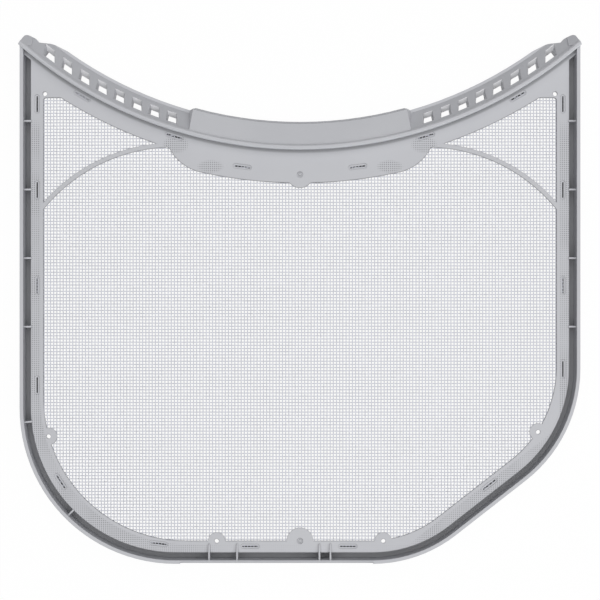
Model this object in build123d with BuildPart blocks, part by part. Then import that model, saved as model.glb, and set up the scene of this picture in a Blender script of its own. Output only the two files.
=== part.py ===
from build123d import *
from math import asin, ceil, cos, degrees, hypot, radians, sin, sqrt, tan
import os

# Tumble dryer lint filter, lying on its back with the lint side up.
# X runs across it, Y towards the grip, Z up; the origin is under the middle of its box.

# Overall size
overall_width = 360.0  # across the outer walls of the rim
overall_length = 340.0  # from the bottom wall to the tips of the end caps

# Outline of the rim
left_corner_radius = 100.0
lower_right_radius = 86.6
upper_right_radius = 91.0
cut_angle = 52.0  # the cut corner's normal, below the X axis
cut_depth = 63.7  # from the square corner in to the cut

# Section of the rim
rim_height = 15.5
rim_wall = 2.2
channel_width = 4.4
inner_wall = 2.0
floor_thickness = 2.0

# Flange round the screen
flange_top = 11.4
flange_thickness = 2.4
flange_width_side = 8.0
flange_width_bottom = 7.4
flange_width_cut = 8.8
opening_corner_radius = 92.0
opening_top_radius = 2.0
opening_top_drop = 40.3  # from the cap tips down to the flat in the opening's upper corners
ledge_width = 2.6  # flange beside the bead that closes the channel

# Bowed top bar, measured out from the axis of its bow
bow_radius = 274.3  # to the middle of the bead
bead_width = 3.1
bead_top = 17.5
bead_chamfer = 0.9
bead_flare = 0.7  # how far the bar's ends stand out past the rim
bar_wall = 2.0
band_width = 13.25
band_top = 15.5
band_thickness = 4.7
lip_width = 1.8
lip_height = 6.1
bead_to_opening = 11.15  # from the bead's inner side to the screen

# End caps of the bar
cap_rise = 5.2  # from the bead's end up to the tip
cap_shoulder = 6.3  # from the tip down to where the outer side starts to lean in
cap_peak = (3.0, 5.0)  # the tip's flat, in from the rim's outer wall
cap_width = 9.6
cap_fall = 2.0  # from the tip down to its inner corner
cap_slant = 1.8
cap_round = 2.0
cap_ease = 1.2
cap_step = 0.8  # how far the cap stands over the band
cap_skew = 2.2  # how far its inner side leans out towards the bead
shelf_drop = 4.5  # from the tip down to the shelf beside the cap
shelf_bend = (20.0, 4.9)  # in from the outer wall and down from the tip
shelf_end = (30.5, 10.1)
shelf_round = 9.0

# Windows in the bands
window_count = 8
window_first = 82.7  # from the middle to the first window
window_pitch = 11.25
window_run = 5.0  # width along X, at the height of the lip
window_draft = 8.3  # lean of its sides, which open upwards
window_length = 8.5  # down the slope
window_margin = 2.6  # from the bead, down the slope
window_overcut = 0.1

# Grip in the middle of the bar
grip_angle = 16.5  # half of its sweep, at the back
grip_draft = 22.0  # lean of its two ends
grip_corner = (15.1, 15.9)  # where its outer corners are cut, from full width to the band's edge
grip_width = 15.25
grip_front = 16.5  # height at the bead
grip_edge = 11.0  # height at the outer edge
grip_chamfer = 1.0
grip_wall = 2.4
grip_end_wall = 7.0  # solid end of the grip, at the back
web = 3.3  # walls that close the hollows under the bands

# Flange under the grip, with its shoulders
grip_flange_width = 21.15
shoulder_start = 12.5  # degrees from the middle
shoulder_end = 17.1

# Woven screen held in the flange
screen_thickness = 0.5
screen_hold = 2.15  # solid flange left between the bar and the screen's edge
weave_pitch = 31.0
weave_strip = 13.0
weave_ridge = 0.25
weave_ridge_width = 5.0
weave_clearance = 1.0
smallest_gap = 120.0  # area under which the weave is left closed

# Curved ribs over the screen
arc_rib_radius = 109.5
arc_rib_width = 2.9
arc_rib_angle = 17.6  # where it leaves the flange, from the middle
arc_rib_drop = 111.3  # from the cap tips down to its outer end
arc_rib_root = 1.0  # how far its ends run into the flange

# Ribs across the channel
rib_thickness = 1.1
rib_top = 11.9
rib_count = 4
rib_first_drop = 55.2
rib_pitch = 44.2
rib_root = 0.5  # how far ribs and gussets run into what they join
corner_rib_angles = (185.5, 225.0)

# Gussets that tie the bottom flange to the wall
gusset_places = (-58.5, -40.5, 12.5, 19.6)
gusset_reach = 5.6  # over the flange
gusset_toe = 0.8  # height at its inner end
gusset_drop = 0.6  # under the top of the wall

# Rebate along the bottom wall
rebate_left = 77.0
rebate_right = 47.0
rebate_depth = 1.3
rebate_floor = 11.5

# Marks of the pins that held the mesh in the mould
mark_length = 12.0
mark_width = 3.0
mark_depth = 0.4
mark_ease = 1.0  # at its four corners
slit_length = 10.0
slit_width = 0.9
mark_inset = 10.6
mark_drops = (44.3, 99.7, 161.3)
left_mark_drop = 225.5
right_mark_drop = 215.1
corner_mark_angles = (212.7, 262.7)
corner_mark_inset = 11.7
bottom_marks = (-32.2, 30.9)
cut_mark_shift = 8.4  # from the middle of the cut, towards its upper end
bow_mark_angles = (16.9, 30.2)
bow_mark_offset = 3.1  # from the bead's inner side
grip_mark_angle = 7.4
grip_mark_offset = 13.1

# Tabs with through holes, and the two moulding gates
hole_radius = 1.4
hole_wall = 0.9  # plastic between a hole and the mesh round it
tab_radius = 5.6
bottom_tab_shift = 53.7
left_tab_angle = 195.5
right_tab_angle = -32.4
corner_hole_inset = 15.6
corner_hole_rise = 2.5
gate_radius = 8.6
gate_mark_radius = 1.9
gate_stub_radius = 0.9
gate_mark_depth = 0.7
gate_mark_sides = 10
top_gate_offset = 5.4  # inside the grip flange's edge

# Places worked out from the sizes above
half_width = overall_width / 2
half_length = overall_length / 2
bead_half = bead_width / 2
bead_shoulder = bead_top - bead_chamfer
bow_y = half_length - cap_rise + sqrt(bow_radius**2 - half_width**2)
bow_axis = Axis((0, bow_y, 0), (0, 0, 1))
bar_inner = bow_radius + bead_half
bar_void = bar_inner - bar_wall
band_start = bow_radius - bead_half
band_edge = band_start - band_width
bar_sweep = degrees(asin((half_width + bead_flare) / band_edge)) + 1
grip_outer = band_start - grip_width
opening_bow = bar_inner + bead_to_opening
grip_flange_bow = bar_inner + grip_flange_width
screen_bow = bar_inner + screen_hold
flange_bottom = flange_top - flange_thickness
flange_inset = rim_wall + channel_width
recess_inset = flange_inset + inner_wall
screen_bottom = flange_bottom + (flange_thickness - screen_thickness) / 2
screen_top = screen_bottom + screen_thickness
opening_side = flange_inset + flange_width_side
opening_low = flange_inset + flange_width_bottom
opening_left = -half_width + opening_side
opening_bottom = -half_length + opening_low
opening_top = half_length - opening_top_drop

# The cut corner, as a line at a distance from the origin
cut_x = cos(radians(cut_angle))
cut_y = -sin(radians(cut_angle))
cut_reach = cut_x * half_width - cut_y * half_length - cut_depth

# Centres of the rounded corners
left_corner = (-half_width + left_corner_radius, -half_length + left_corner_radius)
opening_corner = (opening_left + opening_corner_radius, opening_bottom + opening_corner_radius)
right_corner_x = half_width - upper_right_radius
right_corner_y = (cut_reach - upper_right_radius - cut_x * right_corner_x) / cut_y
lower_corner_y = -half_length + lower_right_radius
lower_corner_x = (cut_reach - lower_right_radius - cut_y * lower_corner_y) / cut_x

# Slope of the windowed bands
slope_run = band_width - lip_width
slope_fall = band_top - lip_height
slope_length = hypot(slope_run, slope_fall)
under_start = band_start + band_thickness * slope_fall / slope_length
under_top = band_top - band_thickness * slope_run / slope_length


def bow_point(radius, angle):
    """Point at a radius from the bow's axis, at degrees to the right of the middle."""
    return (radius * sin(radians(angle)), bow_y - radius * cos(radians(angle)))


def polar_point(centre, radius, angle):
    """Point at a radius and an angle about a corner's centre."""
    return (centre[0] + radius * cos(radians(angle)), centre[1] + radius * sin(radians(angle)))


def bow_height(radius, x):
    """Y of a circle about the bow's axis, where it crosses X."""
    return bow_y - sqrt(radius**2 - x**2)


def bar_plane(angle):
    """Section plane of the bar: local X out from the bow's axis, local Y up."""
    turn = radians(angle)
    return Plane(
        origin=(0, bow_y, 0),
        x_dir=(sin(turn), -cos(turn), 0),
        z_dir=(-cos(turn), -sin(turn), 0),
    )


def rim_corners(side, bottom, cut):
    """Sides and square corners of the rim's outline, moved in by three insets."""
    left = -half_width + side
    right = half_width - side
    low = -half_length + bottom
    reach = cut_reach - cut
    low_right = ((reach - cut_y * low) / cut_x, low)
    up_right = (right, (reach - cut_x * right) / cut_y)
    return left, right, [(left, low), low_right, up_right]


def rim_face(inset, bow=bow_radius, mode=Mode.ADD):
    """Face of the rim's outline, moved in by an inset and closed by a bow at the top."""
    left, right, corners = rim_corners(inset, inset, inset)
    start = (left, bow_height(bow, left))
    end = (right, bow_height(bow, right))
    radii = [r - inset for r in (left_corner_radius, lower_right_radius, upper_right_radius)]
    with BuildLine() as outline:
        FilletPolyline(start, *corners, end, radius=radii)
        ThreePointArc(end, (0, bow_y - bow), start)
    make_face(outline.edges(), mode=mode)


def grip_flange_face():
    """Takes the wider flange under the grip out of the opening, with its two shoulders."""
    low_left = bow_point(grip_flange_bow, -shoulder_start)
    low_right = bow_point(grip_flange_bow, shoulder_start)
    high_left = bow_point(opening_bow, -shoulder_end)
    high_right = bow_point(opening_bow, shoulder_end)
    slope = (cos(radians(shoulder_start)), sin(radians(shoulder_start)))
    with BuildLine() as outline:
        ThreePointArc(low_left, (0, bow_y - grip_flange_bow), low_right)
        TangentArc(low_right, high_right, tangent=slope)
        TangentArc(low_left, high_left, tangent=(-slope[0], slope[1]))
        ThreePointArc(high_left, (0, bow_y - bar_inner), high_right)
    make_face(outline.edges(), mode=Mode.SUBTRACT)


def back_opening_face():
    """Open area behind the screen, plain all round."""
    left, right, corners = rim_corners(opening_side, opening_low, flange_inset + flange_width_cut)
    radii = [
        opening_top_radius,
        opening_corner_radius,
        lower_right_radius - opening_low,
        upper_right_radius - opening_side,
        opening_top_radius,
    ]
    with BuildLine() as outline:
        FilletPolyline(
            (left, opening_top), *corners, (right, opening_top), radius=radii, close=True
        )
    make_face(outline.edges())
    with Locations((0, bow_y)):
        Circle(opening_bow, mode=Mode.SUBTRACT)
    grip_flange_face()


def opening_face():
    """Open area in front of the screen, with its tabs and on both sides of the curved ribs."""
    back_opening_face()
    with Locations(*gate_places):
        Circle(gate_radius, mode=Mode.SUBTRACT)
    with Locations(*tab_places):
        Circle(tab_radius, mode=Mode.SUBTRACT)
    for hand in (-1, 1):
        leaves = bow_point(opening_bow - arc_rib_root, hand * arc_rib_angle)
        meets = (hand * (-opening_left + arc_rib_root), half_length - arc_rib_drop)
        with BuildLine(mode=Mode.PRIVATE):
            rib_line = RadiusArc(leaves, meets, hand * arc_rib_radius)
        SlotArc(rib_line, arc_rib_width, mode=Mode.SUBTRACT)


def bar_plan():
    """Plan of the top bar with its two end caps."""
    end = half_width + bead_flare
    cap_side = half_width - cap_width
    right = [
        (end, bow_y - bar_inner - bead_width),
        (end, half_length - cap_shoulder),
        *[(half_width - inset, half_length) for inset in cap_peak],
        (cap_side, half_length - cap_fall),
        (cap_side - cap_slant, half_length - shelf_drop),
        *[(half_width - inset, half_length - drop) for inset, drop in (shelf_bend, shelf_end)],
    ]
    left = [(-x, y) for x, y in reversed(right)]
    radii = [0, cap_ease, cap_round, cap_round, cap_ease, cap_ease, shelf_round, 0]
    with BuildLine() as outline:
        FilletPolyline(*right, *left, radius=radii + radii[::-1], close=True)
    make_face(outline.edges())


def cap_plan(hand):
    """Plan of one end cap, past its inner side."""
    low = bow_height(bar_inner, half_width)
    inner = half_width - cap_width
    outer = half_width + cap_width
    high = half_length + cap_width
    points = [(inner + cap_skew, low), (outer, low), (outer, high), (inner, high)]
    with BuildLine() as outline:
        Polyline(*[(hand * x, y) for x, y in points], close=True)
    make_face(outline.edges())


# Through holes, gates and marks
gate_places = [(0, bow_y - grip_flange_bow + top_gate_offset), (0, opening_bottom)]
tab_places = [
    (-bottom_tab_shift, opening_bottom),
    (bottom_tab_shift, opening_bottom),
    polar_point(opening_corner, opening_corner_radius, left_tab_angle),
    polar_point(
        (right_corner_x, right_corner_y), upper_right_radius - opening_side, right_tab_angle
    ),
]
corner_holes = [
    (hand * (half_width - corner_hole_inset), opening_top + corner_hole_rise) for hand in (-1, 1)
]


def sheet_face():
    """Outline of the screen's sheet, punched where the frame's plastic runs through it."""
    rim_face(recess_inset, bow=screen_bow)
    punch = 2 * (hole_radius + hole_wall)
    with Locations(*tab_places, *corner_holes):
        Rectangle(punch, punch, mode=Mode.SUBTRACT)


def mark_spots():
    """Place and turn of each pin mark on the flange."""
    spots = []
    for hand, last in ((-1, left_mark_drop), (1, right_mark_drop)):
        for drop in (*mark_drops, last):
            spots.append((hand * (half_width - mark_inset), half_length - drop, 90))
        for angle in bow_mark_angles:
            spots.append((*bow_point(bar_inner + bow_mark_offset, hand * angle), hand * angle))
        turn = hand * grip_mark_angle
        spots.append((*bow_point(bar_inner + grip_mark_offset, turn), turn))
    for angle in corner_mark_angles:
        place = polar_point(left_corner, left_corner_radius - corner_mark_inset, angle)
        spots.append((*place, angle + 90))
    for x in bottom_marks:
        spots.append((x, -half_length + mark_inset, 0))
    reach = cut_reach - corner_mark_inset
    along = (cut_x * right_corner_y - cut_y * right_corner_x) / 2
    along += (cut_x * lower_corner_y - cut_y * lower_corner_x) / 2 + cut_mark_shift
    place = (cut_x * reach - cut_y * along, cut_y * reach + cut_x * along)
    spots.append((*place, 90 - cut_angle))
    return [Location((x, y, 0), (0, 0, turn)) for x, y, turn in spots]


# Bowed bar: bead wall and sloping band, cut to its plan, hollow underneath
with BuildPart() as bar:
    with BuildSketch(bar_plane(-bar_sweep)):
        with BuildLine():
            Polyline(
                (bar_inner, bead_shoulder),
                (bar_inner, 0),
                (band_edge, 0),
                (band_edge, lip_height),
                (band_edge + lip_width, lip_height),
                (band_start, band_top),
                (band_start, bead_shoulder),
                (band_start + bead_chamfer, bead_top),
                (bar_inner - bead_chamfer, bead_top),
                close=True,
            )
        make_face()
    revolve(axis=bow_axis, revolution_arc=2 * bar_sweep)
    with BuildSketch():
        bar_plan()
    extrude(amount=bead_top, mode=Mode.INTERSECT)

# End caps: the band's own slope, raised a step
with BuildPart() as end_caps:
    with BuildSketch(bar_plane(-bar_sweep)):
        with BuildLine():
            Polyline(
                (bow_radius, 0),
                (band_edge, 0),
                (band_edge, lip_height),
                (band_start, band_top + cap_step),
                (bow_radius, band_top + cap_step),
                close=True,
            )
        make_face()
    revolve(axis=bow_axis, revolution_arc=2 * bar_sweep)
    with BuildSketch():
        bar_plan()
    extrude(amount=bead_top, mode=Mode.INTERSECT)
    with BuildSketch():
        cap_plan(-1)
        cap_plan(1)
    extrude(amount=bead_top, mode=Mode.INTERSECT)

# Grip: a fuller section with leaning ends and cut outer corners
with BuildPart() as grip:
    grip_slope = (grip_front - grip_edge) / (bow_radius - grip_outer)
    with BuildSketch(bar_plane(-grip_angle)):
        with BuildLine():
            Polyline(
                (bow_radius, 0),
                (grip_outer, 0),
                (grip_outer, grip_edge - grip_chamfer),
                (grip_outer + grip_chamfer, grip_edge + grip_chamfer * grip_slope),
                (bow_radius, grip_front),
                close=True,
            )
        make_face()
    revolve(axis=bow_axis, revolution_arc=2 * grip_angle)
    ends = grip.faces().sort_by(Axis.X)
    draft([ends[0], ends[-1]], Plane.XY, grip_draft)
    with BuildSketch():
        for hand in (-1, 1):
            full, slim = (hand * angle for angle in grip_corner)
            past = 2 * slim - full
            with BuildLine() as corner:
                Polyline(
                    bow_point(grip_outer, full),
                    bow_point(band_edge, slim),
                    bow_point(band_edge, past),
                    bow_point(grip_outer - grip_wall, past),
                    bow_point(grip_outer - grip_wall, full),
                    close=True,
                )
            make_face(corner.edges())
    extrude(amount=grip_front, mode=Mode.SUBTRACT)

# Windows: cut square to the slope, with drafted sides, evenly spaced across
with BuildPart() as windows:
    lean = degrees(asin(slope_fall / slope_length))
    back_half = window_run / 2 - lip_height * tan(radians(window_draft))
    front_half = back_half + bead_top * tan(radians(window_draft))
    window_down = window_margin + window_length / 2
    with BuildSketch(bar_plane(-bar_sweep)):
        with Locations(
            Location(
                (
                    band_start - window_down * slope_run / slope_length,
                    band_top - window_down * slope_fall / slope_length,
                ),
                lean,
            )
        ):
            Rectangle(window_length, 2 * (band_thickness + window_overcut))
    revolve(axis=bow_axis, revolution_arc=2 * bar_sweep)
    with BuildSketch(Plane.XZ):
        for hand in (-1, 1):
            for i in range(window_count):
                middle = hand * (window_first + i * window_pitch)
                with BuildLine() as window:
                    Polyline(
                        (middle - back_half, 0),
                        (middle + back_half, 0),
                        (middle + front_half, bead_top),
                        (middle - front_half, bead_top),
                        close=True,
                    )
                make_face(window.edges())
    extrude(amount=overall_length, both=True, mode=Mode.INTERSECT)

# Frame: one moulding
with BuildPart() as filter_frame:
    add(bar.part)
    add(end_caps.part)
    add(grip.part)

    # Hollows under the grip and under the two bands
    grip_turn = grip_angle - degrees(grip_end_wall / bow_radius)
    with BuildSketch(bar_plane(-grip_turn)):
        with BuildLine():
            Polyline(
                (bar_void, 0),
                (grip_outer + grip_wall, 0),
                (grip_outer + grip_wall, grip_edge - grip_wall),
                (bar_void, grip_front - grip_wall),
                close=True,
            )
        make_face()
    revolve(axis=bow_axis, revolution_arc=2 * grip_turn, mode=Mode.SUBTRACT)
    web_turn = degrees(web / bow_radius)
    band_turn = grip_angle + web_turn
    cap_turn = degrees(asin((half_width - cap_width) / bow_radius)) - web_turn
    for start in (-cap_turn, band_turn):
        with BuildSketch(bar_plane(start)):
            with BuildLine():
                Polyline(
                    (bar_void, 0),
                    (bar_void, under_top + (bar_void - under_start) * slope_fall / slope_run),
                    (under_start - under_top * slope_run / slope_fall, 0),
                    close=True,
                )
            make_face()
        revolve(axis=bow_axis, revolution_arc=cap_turn - band_turn, mode=Mode.SUBTRACT)

    add(windows.part, mode=Mode.SUBTRACT)

    # Rim: floor of the channel, outer wall, then the flange on its inner wall
    with BuildSketch():
        rim_face(0)
    extrude(amount=floor_thickness)
    with BuildSketch():
        rim_face(0)
        rim_face(rim_wall, mode=Mode.SUBTRACT)
    extrude(amount=rim_height)
    with BuildSketch():
        rim_face(0)
        with Locations((0, bow_y)):
            Circle(bar_inner + ledge_width, mode=Mode.INTERSECT)
        rim_face(flange_inset)
    extrude(amount=flange_top)
    with BuildSketch():
        rim_face(recess_inset, bow=bar_inner)
    extrude(amount=flange_bottom, mode=Mode.SUBTRACT)

    # Opening for air, and the slot that holds the screen's margin
    with BuildSketch(Plane.XY.offset(flange_bottom)):
        back_opening_face()
    extrude(amount=screen_bottom - flange_bottom, mode=Mode.SUBTRACT)
    with BuildSketch(Plane.XY.offset(screen_top)):
        opening_face()
    extrude(amount=flange_top - screen_top, mode=Mode.SUBTRACT)
    with BuildSketch(Plane.XY.offset(screen_bottom)):
        sheet_face()
    extrude(amount=screen_thickness, mode=Mode.SUBTRACT)

    # Ribs across the channel, along both sides and round the left corner
    rib_length = channel_width + 2 * rib_root
    rib_middle = rim_wall + channel_width / 2
    rib_align = (Align.CENTER, Align.CENTER, Align.MIN)
    rib_spots = [
        Location((hand * (half_width - rib_middle), half_length - rib_first_drop - i * rib_pitch, 0))
        for hand in (-1, 1)
        for i in range(rib_count)
    ]
    for angle in corner_rib_angles:
        place = polar_point(left_corner, left_corner_radius - rib_middle, angle)
        rib_spots.append(Location((*place, 0), (0, 0, angle)))
    with Locations(*rib_spots):
        Box(rib_length, rib_thickness, rib_top, align=rib_align)

    # Gussets from the bottom wall over the flange
    wall_y = -half_length + rim_wall - rib_root
    flange_y = -half_length + flange_inset
    for x in gusset_places:
        with BuildSketch(Plane.YZ.offset(x - rib_thickness / 2)):
            with BuildLine():
                Polyline(
                    (wall_y, 0),
                    (wall_y, rim_height - gusset_drop),
                    (flange_y + gusset_reach, flange_top + gusset_toe),
                    (flange_y + gusset_reach, flange_top - rib_root),
                    (flange_y + rib_root, flange_top - rib_root),
                    (flange_y + rib_root, 0),
                    close=True,
                )
            make_face()
        extrude(amount=rib_thickness)

    # Rebate outside the bottom wall
    with BuildSketch(Plane.XY.offset(rebate_floor)):
        with Locations(((rebate_right - rebate_left) / 2, -half_length)):
            Rectangle(rebate_left + rebate_right, 2 * rebate_depth)
    extrude(amount=rim_height - rebate_floor, mode=Mode.SUBTRACT)

    # Pin marks with a slit down to the screen, gate marks and through holes
    with BuildSketch(Plane.XY.offset(flange_top)) as marks:
        with Locations(*mark_spots()):
            Rectangle(mark_length, mark_width)
        chamfer(marks.vertices(), length=mark_ease)
    extrude(amount=-mark_depth, mode=Mode.SUBTRACT)
    with BuildSketch(Plane.XY.offset(screen_top)):
        with Locations(*mark_spots()):
            Rectangle(slit_length, slit_width)
    extrude(amount=flange_top - screen_top, mode=Mode.SUBTRACT)
    with BuildSketch(Plane.XY.offset(flange_top)):
        with Locations(*gate_places):
            RegularPolygon(gate_mark_radius, gate_mark_sides)
            RegularPolygon(gate_stub_radius, gate_mark_sides, mode=Mode.SUBTRACT)
    extrude(amount=-gate_mark_depth, mode=Mode.SUBTRACT)
    with BuildSketch(Plane.XY.offset(flange_bottom)):
        with Locations(*tab_places, *corner_holes):
            Circle(hole_radius)
    extrude(amount=flange_thickness, mode=Mode.SUBTRACT)

filter_frame.part.label = "filter_frame"

# Screen: one woven wall with a plain margin in the flange, each strip standing for many threads
columns = ceil(-2 * opening_left / weave_pitch)
rows = ceil((opening_top - opening_bottom) / weave_pitch)
weave_y = (opening_bottom + opening_top) / 2


def weave_margin(open_area):
    """Plain margin all round the weave, on one side of the sheet."""
    with BuildSketch() as open_weave:
        open_area()
        offset(amount=-weave_clearance)
    with BuildSketch() as margin:
        Rectangle(2 * overall_width, 2 * overall_length)
        add(open_weave.sketch, mode=Mode.SUBTRACT)
    return margin.sketch


front_margin = weave_margin(opening_face)
back_margin = weave_margin(back_opening_face)

with BuildPart() as mesh_screen:
    with BuildSketch(Plane.XY.offset(screen_bottom)):
        sheet_face()
    extrude(amount=screen_thickness)
    with BuildSketch(Plane.XY.offset(screen_top)):
        with Locations((0, weave_y)):
            with GridLocations(weave_pitch, 0, columns + 1, 1):
                Rectangle(weave_ridge_width, overall_length)
        add(front_margin, mode=Mode.SUBTRACT)
    extrude(amount=weave_ridge)
    with BuildSketch(Plane.XY.offset(screen_bottom)):
        with Locations((0, weave_y)):
            with GridLocations(0, weave_pitch, 1, rows + 1):
                Rectangle(overall_width, weave_ridge_width)
        add(back_margin, mode=Mode.SUBTRACT)
    extrude(amount=-weave_ridge)
    with BuildSketch(Plane.XY.offset(screen_bottom), mode=Mode.PRIVATE) as gaps:
        with Locations((0, weave_y)):
            with GridLocations(weave_pitch, weave_pitch, columns, rows):
                Rectangle(weave_pitch - weave_strip, weave_pitch - weave_strip)
        add(back_margin, mode=Mode.SUBTRACT)
    wide_gaps = gaps.sketch.faces().filter_by(lambda gap: gap.area > smallest_gap)
    extrude(wide_gaps, amount=screen_thickness, mode=Mode.SUBTRACT)

mesh_screen.part.label = "mesh_screen"

os.makedirs("parts", exist_ok=True)
export_step(filter_frame.part, "parts/filter_frame.step")
export_step(mesh_screen.part, "parts/mesh_screen.step")
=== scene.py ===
# %% [markdown]
# # A tumble dryer lint filter
#
# The filter is two things: one grey plastic moulding, and a sheet of woven mesh that was laid in
# the mould before the plastic went in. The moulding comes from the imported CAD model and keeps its
# shape here. It gets its finish. The mesh is modelled new, thread by thread, because a woven sheet
# is what the eye falls on first.

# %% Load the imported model
import bpy
from math import ceil, pi, radians
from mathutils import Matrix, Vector


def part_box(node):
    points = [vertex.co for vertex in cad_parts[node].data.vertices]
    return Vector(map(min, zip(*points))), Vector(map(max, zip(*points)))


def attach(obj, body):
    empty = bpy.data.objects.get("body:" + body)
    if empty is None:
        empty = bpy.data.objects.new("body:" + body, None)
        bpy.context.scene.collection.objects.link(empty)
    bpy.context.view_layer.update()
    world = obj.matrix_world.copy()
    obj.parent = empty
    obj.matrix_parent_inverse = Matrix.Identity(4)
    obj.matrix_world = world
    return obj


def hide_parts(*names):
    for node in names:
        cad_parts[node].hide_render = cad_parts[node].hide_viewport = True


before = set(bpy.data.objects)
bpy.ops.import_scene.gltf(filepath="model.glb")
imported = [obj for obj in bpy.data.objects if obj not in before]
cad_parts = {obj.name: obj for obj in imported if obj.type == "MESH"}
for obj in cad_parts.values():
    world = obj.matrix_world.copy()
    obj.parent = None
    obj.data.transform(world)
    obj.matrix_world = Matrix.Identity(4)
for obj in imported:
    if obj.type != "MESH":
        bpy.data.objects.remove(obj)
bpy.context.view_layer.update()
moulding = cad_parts["filter_frame"]
sheet_low, sheet_high = (Vector(corner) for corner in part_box("mesh_screen"))
sheet_middle = (sheet_low + sheet_high) / 2
mm = 0.001
print("sheet of mesh, mm:", [round(size / mm, 1) for size in sheet_high - sheet_low])

# %% [markdown]
# ## Small helpers
#
# Most operators act on what is selected, so each step starts from an empty selection. `pick` marks
# vertices by their place, which is what a hand would do with a box select. `apply_modifier` puts a
# modifier on the active piece and makes its result real.

# %% Selecting and applying


def start_clean():
    """Leaves edit mode and selects nothing."""
    if bpy.context.mode != "OBJECT":
        bpy.ops.object.mode_set(mode="OBJECT")
    bpy.ops.object.select_all(action="DESELECT")


def make_active(piece):
    """Selects one piece alone."""
    start_clean()
    piece.select_set(True)
    bpy.context.view_layer.objects.active = piece


def pick(test):
    """Goes into edit mode with only the vertices selected whose place passes a test."""
    bpy.ops.object.mode_set(mode="EDIT")
    bpy.ops.mesh.select_all(action="DESELECT")
    bpy.ops.mesh.select_mode(type="VERT")
    bpy.ops.object.mode_set(mode="OBJECT")
    for vertex in bpy.context.object.data.vertices:
        vertex.select = test(vertex.co)
    bpy.ops.object.mode_set(mode="EDIT")


def apply_modifier(kind, **settings):
    """Adds a modifier to the active piece and applies it."""
    modifier = bpy.context.object.modifiers.new(kind.title(), kind)
    for name, value in settings.items():
        setattr(modifier, name, value)
    bpy.ops.object.modifier_apply(modifier=modifier.name)


# %% [markdown]
# ## The outline of the mesh
#
# The sheet was cut with scissors or a die before it was moulded in. Its outline is the convex hull
# of the CAD sheet, less the bow at the top, and punched where the locating pins went through. It
# could be traced point by point, but hull, bow and punches follow the CAD with three operators.

# %% A prism with the sheet's outline
bow_middle = Vector((0, 371.78, 0)) * mm
sheet_bow = 278.0 * mm
pin_radius = 2.0 * mm
pin_places = [
    Vector(place) * mm
    for place in (
        (-53.7, -156.0, 0),
        (53.7, -156.0, 0),
        (-162.05, -88.59, 0),
        (153.51, -85.72, 0),
        (-164.4, 132.2, 0),
        (164.4, 132.2, 0),
    )
]
die_height = 6 * mm
bow_sides = 360
pin_sides = 24
merge_reach = 0.01 * mm


def punch(blank, place, radius, sides):
    """Takes a round hole out of a prism."""
    start_clean()
    place = Vector((place.x, place.y, sheet_middle.z))
    bpy.ops.mesh.primitive_cylinder_add(
        vertices=sides, radius=radius, depth=2 * die_height, location=place
    )
    tool = bpy.context.object
    make_active(blank)
    apply_modifier("BOOLEAN", operation="DIFFERENCE", object=tool, solver="EXACT")
    bpy.data.objects.remove(tool)


outline = bpy.data.objects.new("sheet_outline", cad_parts["mesh_screen"].data.copy())
bpy.context.scene.collection.objects.link(outline)
make_active(outline)
bpy.ops.object.mode_set(mode="EDIT")
bpy.ops.mesh.select_all(action="SELECT")
bpy.ops.mesh.remove_doubles(threshold=merge_reach)
bpy.ops.mesh.convex_hull()
bpy.ops.mesh.select_all(action="SELECT")
bpy.ops.transform.resize(
    value=(1, 1, die_height / (sheet_high.z - sheet_low.z)), center_override=sheet_middle
)
punch(outline, bow_middle, sheet_bow, bow_sides)
for place in pin_places:
    punch(outline, place, pin_radius, pin_sides)
print("outline prism faces:", len(outline.data.polygons))

# %% [markdown]
# ## One thread, then a cloth of threads
#
# A plain weave is two sets of threads that pass over and under each other. One wave of one thread
# is modelled by hand from a four-sided cylinder. Arrays then make it a thread, and threads a set.
# The neighbour of each thread is half a wave ahead, which is what locks a weave. A texture could
# fake this, but real threads throw real shadows and stay right in a close view.

# %% The two sets of threads
# The real weave is finer. It is drawn at the spacing at which it shows in a picture of this size.
thread_pitch = 2.05 * mm
thread_width = 0.56 * mm
thread_depth = 0.40 * mm
thread_swing = 0.20 * mm
columns = 2 * ceil((sheet_high.x - sheet_low.x) / thread_pitch / 2)
rows = 2 * ceil((sheet_high.y - sheet_low.y) / thread_pitch / 2)
first_crossing = Vector(
    (
        sheet_middle.x - (columns - 1) / 2 * thread_pitch,
        sheet_middle.y - (rows - 1) / 2 * thread_pitch,
        sheet_middle.z,
    )
)


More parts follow.
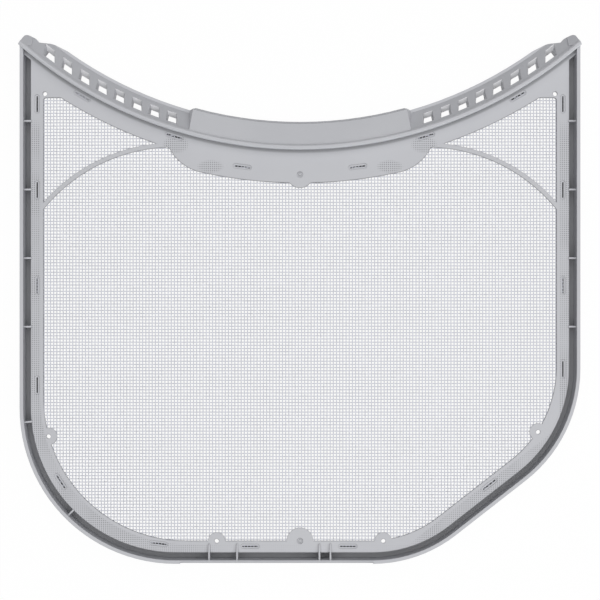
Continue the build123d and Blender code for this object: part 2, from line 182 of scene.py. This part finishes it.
def thread_set(name, along, across, turn, waves, pairs, start):
    """Weaves one set of threads: a wave, its neighbour half a wave ahead, then many of both."""
    start_clean()
    bpy.ops.mesh.primitive_cylinder_add(
        vertices=4,
        radius=thread_width / 2,
        depth=2 * thread_pitch,
        end_fill_type="NOTHING",
        rotation=turn,
    )
    threads = bpy.context.object
    threads.name = threads.data.name = name
    bpy.ops.object.transform_apply(location=True, rotation=True, scale=True)
    pick(lambda place: True)
    bpy.ops.transform.resize(value=(1, 1, thread_depth / thread_width), center_override=(0, 0, 0))
    bpy.ops.mesh.select_mode(type="EDGE")
    bpy.ops.mesh.select_all(action="DESELECT")
    bpy.ops.object.mode_set(mode="OBJECT")
    for edge in threads.data.edges:
        ends = [threads.data.vertices[v].co for v in edge.vertices]
        edge.select = abs((ends[0] - ends[1]).dot(along)) > thread_pitch
    bpy.ops.object.mode_set(mode="EDIT")
    bpy.ops.mesh.subdivide(number_cuts=1)
    pick(lambda place: abs(place.dot(along)) < thread_pitch / 2)
    bpy.ops.transform.translate(value=(0, 0, thread_swing))
    pick(lambda place: abs(place.dot(along)) > thread_pitch / 2)
    bpy.ops.transform.translate(value=(0, 0, -thread_swing))
    bpy.ops.object.mode_set(mode="OBJECT")
    apply_modifier(
        "ARRAY",
        count=waves,
        use_relative_offset=False,
        use_constant_offset=True,
        constant_offset_displace=2 * thread_pitch * along,
        use_merge_vertices=True,
        merge_threshold=merge_reach,
    )
    bpy.ops.object.duplicate()
    bpy.ops.transform.translate(value=thread_pitch * (along + across))
    threads.select_set(True)
    bpy.context.view_layer.objects.active = threads
    bpy.ops.object.join()
    apply_modifier(
        "ARRAY",
        count=pairs,
        use_relative_offset=False,
        use_constant_offset=True,
        constant_offset_displace=2 * thread_pitch * across,
    )
    pick(lambda place: True)
    bpy.ops.transform.translate(value=start)
    bpy.ops.mesh.fill_holes(sides=4)
    bpy.ops.mesh.normals_make_consistent(inside=False)
    bpy.ops.object.mode_set(mode="OBJECT")
    apply_modifier("BOOLEAN", operation="INTERSECT", object=outline, solver="MANIFOLD")
    bpy.ops.object.shade_smooth()
    print(name, "faces:", len(threads.data.polygons))
    return threads


across_x = Vector((1, 0, 0))
along_y = Vector((0, 1, 0))
warp_turn = (radians(90), 0, 0)
warp = thread_set(
    "warp_threads", along_y, across_x, warp_turn, rows // 2 + 1, columns // 2, first_crossing
)
weft_turn = (0, radians(90), 0)
weft_start = first_crossing - thread_pitch * across_x
weft = thread_set(
    "weft_threads", across_x, along_y, weft_turn, columns // 2 + 1, rows // 2, weft_start
)
bpy.data.objects.remove(outline)

# %% [markdown]
# ## Colours and nodes
#
# Colours are written as they would be read off a screen, and one function turns them into the
# linear values that the shader needs. One more function adds a node with its settings and links,
# so that a material reads as a list of steps.

# %% Two functions for materials


def linear(code):
    """Linear colour of an sRGB hex value."""
    steps = [int(code[i : i + 2], 16) / 255 for i in (1, 3, 5)]
    return [c / 12.92 if c <= 0.04045 else ((c + 0.055) / 1.055) ** 2.4 for c in steps] + [1]


def add_node(tree, kind, settings=(), links=()):
    """Adds a node. A setting goes to the socket of that name or number, or else to the node."""
    node = tree.nodes.new(kind)
    for name, value in dict(settings).items():
        if isinstance(name, int) or name in node.inputs:
            node.inputs[name].default_value = value
        else:
            setattr(node, name, value)
    for name, source in dict(links).items():
        tree.links.new(source, node.inputs[name])
    return node


def new_material(name):
    """An empty node material and its node tree."""
    material = bpy.data.materials.new(name)
    material.use_nodes = True
    material.node_tree.nodes.clear()
    return material, material.node_tree


# %% [markdown]
# ## Grey moulded plastic
#
# The frame is filled polypropylene from a blasted steel tool, matt all over. The finish could be
# painted on by hand, but here each effect is found from place and facing, so it stays put whatever
# the view. The first step finds which faces are level, at which height they lie, and how far each
# point is from the middle of the bow.

# %% Where on the moulding a point lies
plastic, tree = new_material("moulded_polypropylene")
where = add_node(tree, "ShaderNodeTexCoord").outputs["Object"]
place = add_node(tree, "ShaderNodeSeparateXYZ", links={"Vector": where}).outputs
facing = add_node(tree, "ShaderNodeNewGeometry").outputs["True Normal"]
up = add_node(tree, "ShaderNodeSeparateXYZ", links={"Vector": facing}).outputs["Z"]
level_from = 0.9
level = add_node(
    tree, "ShaderNodeMath", {"operation": "GREATER_THAN", 1: level_from}, {0: up}
).outputs[0]
flange_top = 11.4 * mm
slot_floor = 9.95 * mm
channel_floor = 2.0 * mm
height_slack = 0.05 * mm
level_at = []
for height in (flange_top, slot_floor, channel_floor):
    at_height = add_node(
        tree, "ShaderNodeMath", {"operation": "COMPARE", 1: height, 2: height_slack}, {0: place["Z"]}
    ).outputs[0]
    both = add_node(
        tree, "ShaderNodeMath", {"operation": "MULTIPLY"}, {0: level, 1: at_height}
    ).outputs[0]
    level_at.append(both)
on_flange, in_slot, channel_shade = level_at
flat = add_node(
    tree, "ShaderNodeVectorMath", {"operation": "MULTIPLY", 1: (1, 1, 0)}, {0: where}
).outputs[0]
from_bow = add_node(
    tree, "ShaderNodeVectorMath", {"operation": "SUBTRACT", 1: bow_middle}, {0: flat}
).outputs[0]
bow_reach = add_node(
    tree, "ShaderNodeVectorMath", {"operation": "LENGTH"}, {0: from_bow}
).outputs["Value"]
print("heights that count, mm:", [round(h / mm, 2) for h in (flange_top, slot_floor, channel_floor)])

# %% [markdown]
# ## Clouds in the grey
#
# Where streams of melt meet in the mould, the grey comes out a shade lighter or darker. A slow noise
# between two close greys gives that without a pattern that the eye could follow.

# %% Base colour
cloud_size = 45 * mm
clouds = add_node(
    tree, "ShaderNodeTexNoise", {"Scale": 1 / cloud_size, "Detail": 4.0}, {"Vector": where}
).outputs["Fac"]
# Mid grey with a cold tint: shading shows on it without any gloss.
grey = add_node(
    tree,
    "ShaderNodeMix",
    {"data_type": "RGBA", 6: linear("#B9BABF"), 7: linear("#C2C3C7")},
    {0: clouds},
).outputs[2]
print("cloud size, mm:", round(cloud_size / mm))

# %% [markdown]
# ## Painted light on the window walls
#
# The walls of the windows that lean towards the screen get painted light: their colour is set near
# white, as a stand-in for light from the white table that would come through the thin plastic, so
# they look paler than the band. They are the only faces inside the bead that lean away from the
# middle of the bow and still look up.

# %% Window walls
out_from_bow = add_node(
    tree, "ShaderNodeVectorMath", {"operation": "NORMALIZE"}, {0: from_bow}
).outputs[0]
lean = add_node(
    tree, "ShaderNodeVectorMath", {"operation": "DOT_PRODUCT"}, {0: out_from_bow, 1: facing}
).outputs["Value"]
lean_up = add_node(tree, "ShaderNodeMath", {"operation": "MULTIPLY"}, {0: lean, 1: up}).outputs[0]
lean_from = 0.4
leaning = add_node(
    tree, "ShaderNodeMath", {"operation": "GREATER_THAN", 1: lean_from}, {0: lean_up}
).outputs[0]
bead_start = 272.7 * mm
inside_bead = add_node(
    tree, "ShaderNodeMath", {"operation": "LESS_THAN", 1: bead_start}, {0: bow_reach}
).outputs[0]
# Mask of the window walls that get painted light.
window_wall_light = add_node(
    tree, "ShaderNodeMath", {"operation": "MULTIPLY"}, {0: leaning, 1: inside_bead}
).outputs[0]
# Painted light: nearly white, standing in for light that shines through the thin plastic.
colour = add_node(
    tree, "ShaderNodeMix", {"data_type": "RGBA", 7: linear("#F6F6F8")}, {0: window_wall_light, 6: grey}
).outputs[2]
print("the bead starts at, mm from the middle of the bow:", round(bead_start / mm, 1))

# %% [markdown]
# ## Painted shade on the band, painted highlight on the bead
#
# The band leans towards the middle of the bow. It is painted a little darker, as painted shade for a
# slope turned from the light. The bead's outer slope leans the other way and is painted a little
# paler, as a painted highlight.

# %% Band and bead
band_lean_from = -0.3
band_lean_full = -0.4
band_shade_share = 0.35
band_shade = add_node(
    tree,
    "ShaderNodeMapRange",
    {"From Min": band_lean_from, "From Max": band_lean_full, "To Max": band_shade_share},
    {"Value": lean_up},
).outputs[0]
band_shade = add_node(
    tree, "ShaderNodeMath", {"operation": "MULTIPLY"}, {0: band_shade, 1: inside_bead}
).outputs[0]
# Painted shade on the band: a darker grey of the same tint.
colour = add_node(
    tree, "ShaderNodeMix", {"data_type": "RGBA", 7: linear("#A6A7AC")}, {0: band_shade, 6: colour}
).outputs[2]
bead_reach = 274.6 * mm
bead_half_width = 1.9 * mm
on_bead = add_node(
    tree,
    "ShaderNodeMath",
    {"operation": "COMPARE", 1: bead_reach, 2: bead_half_width},
    {0: bow_reach},
).outputs[0]
bead_highlight = add_node(
    tree, "ShaderNodeMath", {"operation": "MULTIPLY"}, {0: leaning, 1: on_bead}
).outputs[0]
# Painted highlight: a step paler than the rest, so that the bead catches the eye as a bright line.
colour = add_node(
    tree, "ShaderNodeMix", {"data_type": "RGBA", 7: linear("#D2D4D8")}, {0: bead_highlight, 6: colour}
).outputs[2]
print("bead, mm wide:", round(2 * bead_half_width / mm, 1))

# %% [markdown]
# ## How far from the opening
#
# The next effect needs the distance from the edge of the flange's opening. It is the largest of
# three: from the rounded left corner with both of its straight sides, from the right side, and from
# the cut corner. A distance field like this could be baked into the mesh, but a few nodes are exact.

# %% Distance past the edge of the opening
corner_middle = Vector((-73.4, -64.0, 0)) * mm
corner_radius = 92.0 * mm
opening_right = 165.4 * mm
cut_facing = Vector((0.6157, -0.7880, 0))
cut_reach = 165.7 * mm
to_corner = add_node(
    tree, "ShaderNodeVectorMath", {"operation": "SUBTRACT", 0: corner_middle}, {1: flat}
).outputs[0]
to_corner = add_node(
    tree, "ShaderNodeVectorMath", {"operation": "MAXIMUM", 1: (0, 0, 0)}, {0: to_corner}
).outputs[0]
corner_reach = add_node(
    tree, "ShaderNodeVectorMath", {"operation": "LENGTH"}, {0: to_corner}
).outputs["Value"]
along_cut_facing = add_node(
    tree, "ShaderNodeVectorMath", {"operation": "DOT_PRODUCT", 1: cut_facing}, {0: where}
).outputs["Value"]
past_corner, past_right, past_cut = (
    add_node(tree, "ShaderNodeMath", {"operation": "SUBTRACT", 1: edge}, {0: reach}).outputs[0]
    for reach, edge in (
        (corner_reach, corner_radius),
        (place["X"], opening_right),
        (along_cut_facing, cut_reach),
    )
)
border = past_corner
for past in (past_right, past_cut):
    border = add_node(
        tree, "ShaderNodeMath", {"operation": "MAXIMUM"}, {0: border, 1: past}
    ).outputs[0]
print("opening, mm wide:", round((opening_right + corner_radius - corner_middle.x) / mm, 1))

# %% [markdown]
# ## Where the weave shows through the flange
#
# The mesh lies under a thin skin of plastic, which sinks a little into each gap of the weave as it
# cools. The flange is therefore dotted, apart from a smooth border along the opening where the tool
# was pressed flat, its middle at the bottom, and the parts near the bow, where the skin is thicker.

# %% Dotted parts of the flange
smooth_border = 1.6 * mm
dotted = add_node(
    tree,
    "ShaderNodeMapRange",
    {"From Min": smooth_border, "From Max": 1.5 * smooth_border},
    {"Value": border},
).outputs[0]
smooth_middle = 45 * mm
dotted_sides = 85 * mm
from_middle = add_node(tree, "ShaderNodeMath", {"operation": "ABSOLUTE"}, {0: place["X"]}).outputs[0]
off_middle = add_node(
    tree,
    "ShaderNodeMapRange",
    {"From Min": smooth_middle, "From Max": dotted_sides, "To Min": 0.12},
    {"Value": from_middle},
).outputs[0]
dots_end = 117 * mm
dots_fade = 8 * mm
below_bow = add_node(
    tree,
    "ShaderNodeMapRange",
    {"From Min": dots_end, "From Max": dots_end - dots_fade},
    {"Value": place["Y"]},
).outputs[0]
uneven_size = 22 * mm
uneven = add_node(
    tree, "ShaderNodeTexNoise", {"Scale": 1 / uneven_size, "Detail": 1.0}, {"Vector": where}
).outputs["Fac"]
uneven = add_node(
    tree,
    "ShaderNodeMapRange",
    {"From Min": 0.3, "From Max": 0.55, "To Min": 0.35},
    {"Value": uneven},
).outputs[0]
for share in (off_middle, below_bow, uneven):
    dotted = add_node(
        tree, "ShaderNodeMath", {"operation": "MULTIPLY"}, {0: dotted, 1: share}
    ).outputs[0]
print("dots end at y, mm:", round(dots_end / mm))

# %% [markdown]
# ## Four dotted patches beside the grip
#
# The skin is thin again in two small ovals on each side of the grip. They are found with the
# distance from their middles, measured in a copy of the place that is folded over at x = 0.

# %% Patches
patch_edge = 1.0
patch_core = 0.7
mirrored = add_node(
    tree, "ShaderNodeVectorMath", {"operation": "ABSOLUTE"}, {0: flat}
).outputs[0]
patches = (((57.8, 85.4, 0), (9, 4.5, 1)), ((80, 99.5, 0), (9, 6, 1)))
for middle, half_size in patches:
    apart = add_node(
        tree, "ShaderNodeVectorMath", {"operation": "SUBTRACT", 1: Vector(middle) * mm}, {0: mirrored}
    ).outputs[0]
    apart = add_node(
        tree, "ShaderNodeVectorMath", {"operation": "DIVIDE", 1: Vector(half_size) * mm}, {0: apart}
    ).outputs[0]
    apart = add_node(
        tree, "ShaderNodeVectorMath", {"operation": "LENGTH"}, {0: apart}
    ).outputs["Value"]
    patch = add_node(
        tree, "ShaderNodeMapRange", {"From Min": patch_edge, "From Max": patch_core}, {"Value": apart}
    ).outputs[0]
    dotted = add_node(
        tree, "ShaderNodeMath", {"operation": "MAXIMUM"}, {0: dotted, 1: patch}
    ).outputs[0]
dotted = add_node(
    tree, "ShaderNodeMath", {"operation": "MULTIPLY"}, {0: dotted, 1: on_flange}
).outputs[0]
print("patches on each side:", len(patches))

# %% [markdown]
# ## The dots
#
# Two waves, one along each axis, add up to a square pattern of peaks. Only the peaks are kept, as
# round dimples. Their product would give a checkerboard with twice as many dots.

# %% Dots
# The real weave is finer. Its dots are drawn at the spacing at which they show in the photograph.
dot_pitch = 1.35 * mm
dot_edge = 0.2
dot_core = 1.6
turns = add_node(
    tree, "ShaderNodeVectorMath", {"operation": "SCALE", "Scale": 2 * pi / dot_pitch}, {0: where}
).outputs[0]
waves = add_node(tree, "ShaderNodeVectorMath", {"operation": "SINE"}, {0: turns}).outputs[0]
waves = add_node(tree, "ShaderNodeSeparateXYZ", links={"Vector": waves}).outputs
dots = add_node(
    tree, "ShaderNodeMath", {"operation": "ADD"}, {0: waves["X"], 1: waves["Y"]}
).outputs[0]
dots = add_node(
    tree,
    "ShaderNodeMapRange",
    {"From Min": dot_edge, "From Max": dot_core, "To Max": 0.8},
    {"Value": dots},
).outputs[0]
dots = add_node(
    tree, "ShaderNodeMath", {"operation": "MULTIPLY"}, {0: dots, 1: dotted}
).outputs[0]
# Each dimple is a little darker than the skin, because it is in its own shade.
colour = add_node(
    tree, "ShaderNodeMix", {"data_type": "RGBA", 7: linear("#6C6D71")}, {0: dots, 6: colour}
).outputs[2]
print("dots, mm apart:", round(dot_pitch / mm, 2))

# %% [markdown]
# ## Painted shade along the edges
#
# The flange's edges get a fine dark line of painted shade, most of all along the edges that face
# away from the grip. An edge is found where a Bevel node's rounded normal leaves the flat one. A
# second line, of painted shadow, lies along the foot of the bead.

# %% Edge lines
edge_shade_width = 1.2 * mm
shade_edge_normal = add_node(tree, "ShaderNodeBevel", {"samples": 8, "Radius": edge_shade_width}).outputs["Normal"]
turned = add_node(
    tree, "ShaderNodeVectorMath", {"operation": "DOT_PRODUCT"}, {0: shade_edge_normal, 1: facing}
).outputs["Value"]
edge_shade = add_node(
    tree, "ShaderNodeMapRange", {"From Min": 0.98, "From Max": 0.8, "To Max": 0.9}, {"Value": turned}
).outputs[0]
edge_turn = add_node(tree, "ShaderNodeSeparateXYZ", links={"Vector": shade_edge_normal}).outputs["Y"]
away_from_grip = add_node(
    tree,
    "ShaderNodeMapRange",
    {"From Min": -0.05, "From Max": -0.25, "To Min": 0.1},
    {"Value": edge_turn},
).outputs[0]
for share in (away_from_grip, on_flange):
    edge_shade = add_node(
        tree, "ShaderNodeMath", {"operation": "MULTIPLY"}, {0: edge_shade, 1: share}
    ).outputs[0]
bead_foot = 276.9 * mm
foot_end = bead_foot + 1.2 * mm
bead_foot_shadow = add_node(
    tree,
    "ShaderNodeMapRange",
    {"From Min": bead_foot, "From Max": foot_end, "To Min": 0.55, "To Max": 0.0},
    {"Value": bow_reach},
).outputs[0]
bead_foot_shadow = add_node(
    tree, "ShaderNodeMath", {"operation": "MULTIPLY"}, {0: bead_foot_shadow, 1: on_flange}
).outputs[0]
painted_edge_shadow = add_node(
    tree, "ShaderNodeMath", {"operation": "MAXIMUM"}, {0: edge_shade, 1: bead_foot_shadow}
).outputs[0]
# Painted shade along the flange's edges and painted shadow at the bead's foot: dark enough to draw
# both outlines.
colour = add_node(
    tree, "ShaderNodeMix", {"data_type": "RGBA", 7: linear("#6E6F72")}, {0: painted_edge_shadow, 6: colour}
).outputs[2]
# Width of the painted shade lines along the edges.
print("dust lines, mm wide at most:", round(edge_shade_width / mm, 1))

# %% [markdown]
# ## Painted shade in the hollows
#
# The slits of the pin marks get painted shade at the bottom, apart from one at the upper left that
# is filled with plastic. The floor of the rim's channel gets painted shade too.

# %% Slits and channel
filled_slit = Vector((-139.6, 130.2, 0)) * mm
slit_reach = 14 * mm
from_filled = add_node(
    tree, "ShaderNodeVectorMath", {"operation": "DISTANCE", 1: filled_slit}, {0: flat}
).outputs["Value"]
open_slit = add_node(
    tree, "ShaderNodeMath", {"operation": "GREATER_THAN", 1: slit_reach}, {0: from_filled}
).outputs[0]
painted_slit_shade = add_node(
    tree, "ShaderNodeMath", {"operation": "MULTIPLY"}, {0: in_slot, 1: open_slit}
).outputs[0]
# Painted shade: the slit's floor is drawn dark, as if it got no light, and reads as a dark speck
# between the threads.
colour = add_node(
    tree, "ShaderNodeMix", {"data_type": "RGBA", 7: linear("#3E3F41")}, {0: painted_slit_shade, 6: colour}
).outputs[2]
# Painted shade on the channel's floor, which darkens the whole channel.
colour = add_node(
    tree, "ShaderNodeMix", {"data_type": "RGBA", 7: linear("#A0A1A4")}, {0: channel_shade, 6: colour}
).outputs[2]
print("filled slit at, mm:", [round(v / mm, 1) for v in filled_slit])

# %% [markdown]
# ## Grain and the finished plastic
#
# A blasted tool leaves a fine grain, here a faint bump. Edges of a moulding are never razor sharp, so
# a Bevel node rounds the shading there without touching the mesh.

# %% Finished plastic
# The blasted grain of the real tool is finer. It is drawn at 0.5 mm, so that it doesn't flicker.
grain_size = 0.5 * mm
grain_depth = 0.02 * mm
edge_radius = 0.5 * mm
rounded = add_node(tree, "ShaderNodeBevel", {"samples": 8, "Radius": edge_radius}).outputs["Normal"]
grain = add_node(
    tree, "ShaderNodeTexNoise", {"Scale": 1 / grain_size, "Detail": 2.0}, {"Vector": where}
).outputs["Fac"]
surface = add_node(
    tree,
    "ShaderNodeBump",
    {"Strength": 0.25, "Distance": grain_depth},
    {"Height": grain, "Normal": rounded},
).outputs[0]
# Half rough: a broad, weak sheen, as matt polypropylene has.
shader = add_node(
    tree,
    "ShaderNodeBsdfPrincipled",
    {"Roughness": 0.5, "IOR": 1.49},
    {"Base Color": colour, "Normal": surface},
).outputs[0]
add_node(tree, "ShaderNodeOutputMaterial", links={"Surface": shader})
moulding.data.materials.clear()
moulding.data.materials.append(plastic)
print("plastic nodes:", len(tree.nodes))

# %% [markdown]
# ## Monofilament
#
# The threads are drawn polyester: round, smooth and a little glossy. Use leaves them unevenly clean,
# so their grey wanders slowly over the sheet.

# %% Threads and their knuckles
filament, tree = new_material("woven_monofilament")
where = add_node(tree, "ShaderNodeTexCoord").outputs["Object"]
wear_size = 30 * mm
wear = add_node(
    tree, "ShaderNodeTexNoise", {"Scale": 1 / wear_size, "Detail": 3.0}, {"Vector": where}
).outputs["Fac"]
# Pale and cold, so the sheet reads as a light veil over the white table.
clean = add_node(
    tree,
    "ShaderNodeMix",
    {"data_type": "RGBA", 6: linear("#CCCED8"), 7: linear("#D4D6E0")},
    {0: wear},
).outputs[2]
place = add_node(tree, "ShaderNodeSeparateXYZ", links={"Vector": where}).outputs
knuckle_foot = sheet_middle.z + 0.5 * thread_depth
knuckle_top = sheet_middle.z + thread_depth
knuckle_highlight = add_node(
    tree,
    "ShaderNodeMapRange",
    {"From Min": knuckle_foot, "From Max": knuckle_top},
    {"Value": place["Z"]},
).outputs[0]
# Painted highlight on the raised knuckles, so the holes read as separate dots and not as a grid.
colour = add_node(
    tree, "ShaderNodeMix", {"data_type": "RGBA", 7: linear("#F6F8FF")}, {0: knuckle_highlight, 6: clean}
).outputs[2]
print("knuckles reach, mm:", round(knuckle_top / mm, 2))

# %% [markdown]
# ## Painted shade in the side marks
#
# In the long marks that the mould's pins left in the side flanges, the bare mesh is painted nearly
# black, as painted shade in the recess. The middle mark on each side is left pale. No other mesh is
# seen beyond the opening's sides, so the distance from the middle finds it.

# %% Painted shade in the marks
mark_start = opening_right + 0.3 * mm
pale_mark = 10 * mm
pale_half_length = 20 * mm
mark_shade_full = 40 * mm
aside = add_node(tree, "ShaderNodeMath", {"operation": "ABSOLUTE"}, {0: place["X"]}).outputs[0]
in_mark = add_node(
    tree, "ShaderNodeMath", {"operation": "GREATER_THAN", 1: mark_start}, {0: aside}
).outputs[0]
from_pale_mark = add_node(
    tree, "ShaderNodeMath", {"operation": "SUBTRACT", 1: pale_mark}, {0: place["Y"]}
).outputs[0]
from_pale_mark = add_node(
    tree, "ShaderNodeMath", {"operation": "ABSOLUTE"}, {0: from_pale_mark}
).outputs[0]
mark_shade = add_node(
    tree,
    "ShaderNodeMapRange",
    {"From Min": pale_half_length, "From Max": mark_shade_full, "To Max": 0.85},
    {"Value": from_pale_mark},
).outputs[0]
mark_shade = add_node(
    tree, "ShaderNodeMath", {"operation": "MULTIPLY"}, {0: mark_shade, 1: in_mark}
).outputs[0]
# Painted shade, nearly black, so that the marks read as dark bars.
colour = add_node(
    tree, "ShaderNodeMix", {"data_type": "RGBA", 7: linear("#2E2F31")}, {0: mark_shade, 6: colour}
).outputs[2]
print("marks start at, mm from the middle:", round(mark_start / mm, 1))

# %% [markdown]
# ## The threads take the place of the sheet
#
# Both sets get the material and ride on the filter's only body, in place of the CAD sheet.

# %% Finished threads
# Smoother than the frame, so that each thread has a soft highlight.
shader = add_node(
    tree,
    "ShaderNodeBsdfPrincipled",
    {"Roughness": 0.4, "IOR": 1.57},
    {"Base Color": colour},
).outputs[0]
add_node(tree, "ShaderNodeOutputMaterial", links={"Surface": shader})
for threads in (warp, weft):
    threads.data.materials.clear()
    threads.data.materials.append(filament)
    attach(threads, "root")
    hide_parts("mesh_screen")
thread_triangles = sum(len(face.vertices) - 2 for t in (warp, weft) for face in t.data.polygons)
print("thread triangles:", thread_triangles)

# %% [markdown]
# ## Floor
#
# The filter lies on a white table. To the camera most of the table glows at exactly white, and the
# rest of it is matt, so the shadow of the frame stays as a faint grey. Further out it is all white,
# so no horizon shows in a low view. The object meets the glow only in its sheen, never as light that
# falls on it. The table is a hair under the filter, so that no two faces share a plane.

# %% White table
table_size = 6
table_gap = 0.05 * mm
start_clean()
bpy.ops.mesh.primitive_plane_add(size=table_size, location=(0, 0, -table_gap))
floor = bpy.context.object
floor.name = "floor"
paper, tree = new_material("white_paper")
rays = add_node(tree, "ShaderNodeLightPath").outputs
seen = rays["Is Camera Ray"]
for kind in ("Is Glossy Ray", "Is Transmission Ray"):
    seen = add_node(
        tree, "ShaderNodeMath", {"operation": "MAXIMUM"}, {0: seen, 1: rays[kind]}
    ).outputs[0]
where = add_node(tree, "ShaderNodeTexCoord").outputs["Object"]
distance = add_node(
    tree, "ShaderNodeVectorMath", {"operation": "LENGTH"}, {0: where}
).outputs["Value"]
shadow_end = 250 * mm
white_from = 700 * mm
glow_near = 0.97
glow_share = add_node(
    tree,
    "ShaderNodeMapRange",
    {"From Min": shadow_end, "From Max": white_from, "To Min": glow_near, "To Max": 1.0},
    {"Value": distance},
).outputs[0]
glow_share = add_node(
    tree, "ShaderNodeMath", {"operation": "MULTIPLY"}, {0: glow_share, 1: seen}
).outputs[0]
# White paper: it takes the shadow and adds no tint.
matt = add_node(tree, "ShaderNodeBsdfDiffuse", {"Color": linear("#F4F4F4")}).outputs[0]
glow = add_node(tree, "ShaderNodeEmission", {"Color": (1, 1, 1, 1), "Strength": 1.0}).outputs[0]
shader = add_node(tree, "ShaderNodeMixShader", links={0: glow_share, 1: matt, 2: glow}).outputs[0]
add_node(tree, "ShaderNodeOutputMaterial", links={"Surface": shader})
floor.data.materials.append(paper)
print("table, m:", table_size)

# %% [markdown]
# ## Light
#
# One broad softbox hangs over the table, a little to the right. Slopes then darken with the cosine
# of their lean and the deep channel of the rim stays dark. The room itself gives only a little
# light, and to the camera it is white.

# %% Room
room_light = 0.04
world = bpy.data.worlds.new("studio")
bpy.context.scene.world = world
world.use_nodes = True
tree = world.node_tree
tree.nodes.clear()
rays = add_node(tree, "ShaderNodeLightPath").outputs
brightness = add_node(
    tree, "ShaderNodeMapRange", {"To Min": room_light, "To Max": 1.0}, {"Value": rays["Is Camera Ray"]}
).outputs[0]
sky = add_node(
    tree, "ShaderNodeBackground", {"Color": (1, 1, 1, 1)}, {"Strength": brightness}
).outputs[0]
add_node(tree, "ShaderNodeOutputWorld", links={"Surface": sky})
print("room light:", room_light)

# %% Softbox
softbox_place = Vector((0.8, -0.4, 1.5))
softbox_size = 4.2
softbox_power = 77
lamp = bpy.data.lights.new("softbox", "AREA")
lamp.size = softbox_size
lamp.energy = softbox_power
softbox = bpy.data.objects.new("softbox", lamp)
softbox.location = softbox_place
bpy.context.scene.collection.objects.link(softbox)
print("softbox, W:", softbox_power)

# %% [markdown]
# ## Camera
#
# The photograph looks straight down on the middle of the filter from about a metre away: the walls
# of the rim show a little of their inner sides all round.

# %% Camera over the middle
picture_width = 385.2 * mm
picture_distance = 1100 * mm
picture_middle = -0.62 * mm
rim_top = 15.5 * mm
lens = bpy.data.cameras.new("camera")
lens.sensor_width = 36
lens.lens = lens.sensor_width * picture_distance / picture_width
camera = bpy.data.objects.new("camera", lens)
camera.location = (0, picture_middle, rim_top + picture_distance)
bpy.context.scene.collection.objects.link(camera)
bpy.context.scene.camera = camera
bpy.context.scene.view_settings.view_transform = "Standard"
print("lens, mm:", round(lens.lens, 1))
